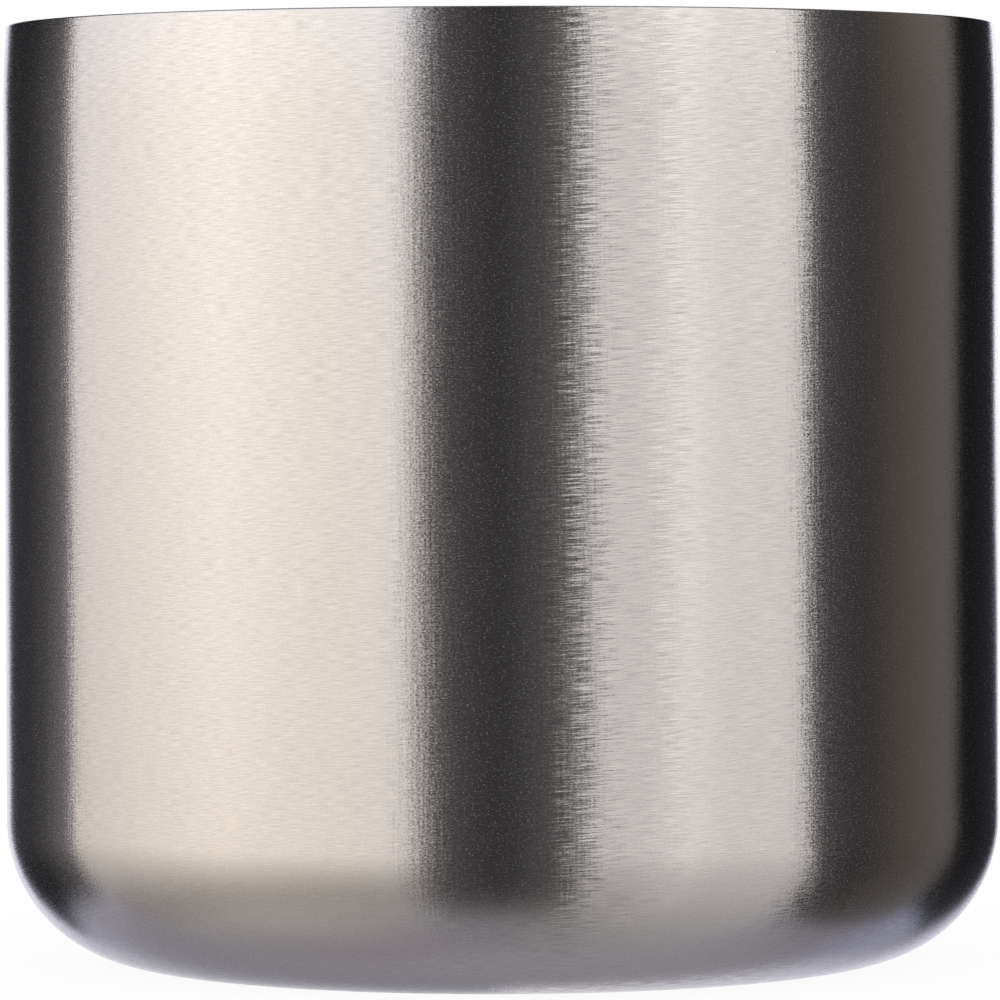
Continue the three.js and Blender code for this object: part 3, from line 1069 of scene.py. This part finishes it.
CARDS = (
    Card(
        "white_sweep",
        falls=(
            (-90.0, "#a4a2ad"), (-70.0, "#a19ea9"), (-50.0, "#95939f"), (-38.0, "#9797a5"),
            (-25.0, "#b5b5c7"), (-10.0, "#f9f9ff"),
        ),
    ),
    Card(
        "bright_floor", left=(128.5, 8.0, 0.0), bottom=(-42.0, 14.0, 0.0, 0.0),
        tones=(
            (135.0, "#b1b5d0"), (150.0, "#a6acc8"), (165.0, "#eff1ff", 1.16), (178.0, "#f2f3ff", 1.3),
        ),
        falls=((-40.0, "#e7e7e7"), (-22.0, "#f9f9f9"), (-8.0, "#ffffff", 1.3)),
    ),
    Card(
        "bright_back", right=(-157.0, 4.0, 0.0), bottom=(-31.0, 14.0, 0.0, 0.0),
        tones=((-178.0, "#f1f3ff", 1.14), (-168.0, "#d7d7df"), (-160.0, "#e7eaff")),
        falls=((-28.0, "#dadada"), (-8.0, "#ffffff", 1.3)),
    ),
    Card(
        "warm_lamp", left=(-116.2, 1.5, 0.0), right=(6.0, 6.0, 0.0), bottom=(-82.0, 16.0, 0.0, 0.0),
        tones=(
            (-113.0, "#dadbe3"), (-100.0, "#e3e3e8"), (-82.0, "#f2f2f3"), (-66.0, "#fcfcfc"),
            (-45.0, "#f2f2f2"), (-34.0, "#eeeef0"), (-22.0, "#eaecf3"),
        ),
        falls=(
            (-75.0, "#9e99a6"), (-60.0, "#aaa7aa"), (-48.0, "#bfbcbc"), (-31.0, "#a49d98"),
            (-20.0, "#d8d4ce"), (-10.0, "#fff7ea", 1.02), (-2.0, "#fff8ec", 1.42), (5.0, "#fffbf5", 1.66),
            (13.0, "#fffefe", 1.64), (24.0, "#f4f7ff", 1.52), (40.0, "#ebf3ff", 1.08), (60.0, "#8990a6"),
        ),
    ),
    Card(
        "grey_lamp", left=(3.0, 8.0, 0.0), right=(84.0, 16.0, 0.0), bottom=(-82.0, 16.0, 0.0, 0.0),
        tones=(
            (24.0, "#e3e3e3"), (33.0, "#dcdcdc"), (43.5, "#fbfbfb"), (51.0, "#e8e8e8"), (68.0, "#ebebeb"),
        ),
        falls=(
            (-72.0, "#aaa7ac"), (-50.0, "#c4c3c6"), (-30.0, "#dad8d8"), (-14.0, "#eae8ea"),
            (-4.0, "#fffdff", 1.06), (4.0, "#fefeff", 1.35), (14.0, "#ffffff", 1.56),
            (26.0, "#fdfeff", 1.46), (40.0, "#fafdff", 1.15), (60.0, "#a2aabc"),
        ),
    ),
    Card(
        "left_flag", left=(-161.6, 3.5, 0.2), right=(-116.0, 1.2, 0.0), bottom=(-25.3, 5.0, 0.0, -1.5),
        tones=((-150.0, "#2f2f34"), (-140.0, "#303033"), (-130.0, "#424143"), (-121.0, "#636165")),
        falls=(
            (-20.0, "#959595"), (-13.0, "#cbcbcb"), (-6.0, "#ffffff", 1.7), (4.0, "#f3f3f3"),
            (14.0, "#959595"), (30.0, "#aaaaaa"),
        ),
    ),
    Card(
        "middle_flag", left=(-19.3, 10.0, 0.0), right=(19.0, 8.5, 0.0), bottom=(-51.0, 31.0, 0.0, 0.0),
        tones=((-14.0, "#514d4f"), (0.0, "#343437"), (14.0, "#5d5c5d")),
        falls=((-30.0, "#e1e1e1"), (0.0, "#ffffff"), (30.0, "#e7e7e7"), (50.0, "#ffffff", 1.5)),
    ),
    Card(
        "right_flag", left=(72.7, 1.0, 0.2), right=(130.0, 5.0, 0.0), bottom=(-34.0, 4.0, 12.0, -1.0),
        tones=(
            (80.0, "#3f3d40"), (90.0, "#353537"), (96.0, "#403d3b"), (106.0, "#534e4b"),
            (124.0, "#656261"),
        ),
        falls=(
            (-45.0, "#dadada"), (-30.0, "#f9f9f9"), (-15.0, "#ffffff"), (0.0, "#ffffff", 1.15),
            (15.0, "#ffffff", 1.8), (40.0, "#ffffff", 1.1),
        ),
    ),
    Card(
        "black_flag", left=(127.8, 5.0, 0.0), right=(161.2, 1.0, 3.4), bottom=(-27.0, 3.0, 0.5, 3.0),
        tones=((132.0, "#141414"), (156.0, "#29292f")),
    ),
    Card(
        "bright_gap", left=(168.5, 4.0, -0.55), bottom=(-33.0, 12.0, 0.0, 0.0),
        tones=(
            (158.0, "#9e9ead"), (166.0, "#d7d8ea"), (173.0, "#f1f2ff", 1.08), (180.0, "#f6f7ff", 1.3),
        ),
        falls=((-30.0, "#f3f3f3"), (-5.0, "#ffffff", 1.1)),
    ),
    Card(
        "dim_ceiling", bottom=(66.0, 24.0, 0.0, 0.0),
        tones=((0.0, "#595965"),),
    ),
)


@dataclass
class Studio:
    """Floor, lamps and camera, at the photograph's angle."""

    distance: float = 585.4
    eye_height: float = 57.3
    lens: float = 245.52
    pitch: float = 1.7545
    roll: float = 0.183
    yaw: float = 0.0075
    clip: tuple[float, float] = (50.0, 20000.0)
    floor_radius: float = 4000.0
    floor_sides: int = 64
    floor_glow: float = 0.94
    dome_radius: float = 2500.0
    dome_grid: tuple[int, int] = (721, 181)

    def camera(self) -> None:
        """Adds the camera in front of the cup, a little turned down and rolled."""
        data = bpy.data.cameras.new("camera")
        data.lens = self.lens
        data.clip_start, data.clip_end = (end * MM for end in self.clip)
        camera = bpy.data.objects.new("camera", data)
        camera.location = (0.0, -self.distance * MM, self.eye_height * MM)
        camera.rotation_euler = tuple(map(math.radians, (90 - self.pitch, self.roll, self.yaw)))
        bpy.context.scene.collection.objects.link(camera)
        bpy.context.scene.camera = camera

    def world(self) -> None:
        """White light from all round, under which a dull colour renders as it is written."""
        world = bpy.data.worlds.new("white_studio")
        world.use_nodes = True
        background = world.node_tree.nodes["Background"]
        background.inputs["Color"].default_value = (1.0, 1.0, 1.0, 1.0)
        background.inputs["Strength"].default_value = 1.0
        bpy.context.scene.world = world
        bpy.context.scene.view_settings.view_transform = "Standard"

    def floor(self) -> None:
        """White floor that keeps the cup's soft shadow; the steel sees the studio's lower half instead."""
        angle = np.linspace(0.0, 2 * np.pi, self.floor_sides, endpoint=False)
        rim = np.stack([np.cos(angle), np.sin(angle), np.zeros_like(angle)], axis=1)
        mesh = bpy.data.meshes.new("floor")
        mesh.from_pydata(rim * self.floor_radius * MM, [], [list(range(self.floor_sides))])
        material, tree, shader = start_material("white_paper_sweep")
        tree.nodes.remove(shader)
        paper = add_node(tree, "ShaderNodeBsdfDiffuse", values={"Color": (1.0, 1.0, 1.0, 1.0)})
        glow = add_node(tree, "ShaderNodeEmission", values={"Color": (1.0, 1.0, 1.0, 1.0)})
        lit = add_node(
            tree, "ShaderNodeMixShader", values={0: self.floor_glow},
            links={1: paper.outputs["BSDF"], 2: glow.outputs["Emission"]},
        )
        tree.links.new(lit.outputs["Shader"], tree.nodes["Material Output"].inputs["Surface"])
        material.cycles.emission_sampling = "NONE"
        mesh.materials.append(material)
        floor = bpy.data.objects.new("floor", mesh)
        floor.visible_glossy = False
        bpy.context.scene.collection.objects.link(floor)

    def dome(self) -> None:
        """Studio round the cup as its steel sees it: a white sweep, with lamp panels and dark flags.

        The radiance is a function of azimuth and elevation, with each card laid over the ones before it.
        """
        columns, rows = self.dome_grid
        azimuth, elevation = np.meshgrid(np.linspace(-180, 180, columns), np.linspace(-90, 90, rows))
        radiance = np.zeros((*azimuth.shape, 3))
        for card in CARDS:
            radiance = card.over(radiance, azimuth, elevation)
        a, e = np.radians(azimuth), np.radians(elevation)
        way = np.stack([np.sin(a) * np.cos(e), -np.cos(a) * np.cos(e), np.sin(e)], axis=-1)
        points = way * self.dome_radius * MM
        index = np.arange(azimuth.size).reshape(azimuth.shape)
        faces = np.stack([index[:-1, :-1], index[1:, :-1], index[1:, 1:], index[:-1, 1:]], axis=-1)
        mesh = bpy.data.meshes.new("studio_dome")
        mesh.from_pydata(points.reshape(-1, 3), [], faces.reshape(-1, 4).tolist())
        layer = mesh.attributes.new(RADIANCE, "FLOAT_COLOR", "POINT")
        light = np.concatenate([radiance.reshape(-1, 3), np.ones((azimuth.size, 1))], axis=1)
        layer.data.foreach_set("color", light.astype(np.float32).ravel())
        material, tree, shader = start_material("studio_panels")
        tree.nodes.remove(shader)
        seen = add_node(tree, "ShaderNodeAttribute", attribute_name=RADIANCE).outputs["Color"]
        glow = add_node(tree, "ShaderNodeEmission", links={"Color": seen}).outputs["Emission"]
        tree.links.new(glow, tree.nodes["Material Output"].inputs["Surface"])
        material.cycles.emission_sampling = "NONE"
        mesh.materials.append(material)
        dome = bpy.data.objects.new("studio_dome", mesh)
        dome.visible_camera = False
        dome.visible_diffuse = False
        dome.visible_transmission = False
        dome.visible_volume_scatter = False
        dome.visible_shadow = False
        bpy.context.scene.collection.objects.link(dome)

    def build(self) -> None:
        """Sets up the whole studio."""
        self.camera()
        self.world()
        self.floor()
        self.dome()


def main() -> None:
    """Builds the studio and each sub-assembly."""
    logging.basicConfig(level=logging.INFO, format="%(message)s")
    cup = CupSizes.from_frame()
    Studio().build()
    Walls(cup).dress()
    HeatShield(cup).dress()
    Getter().dress()
    Base().dress()


if __name__ == "__main__":
    main()
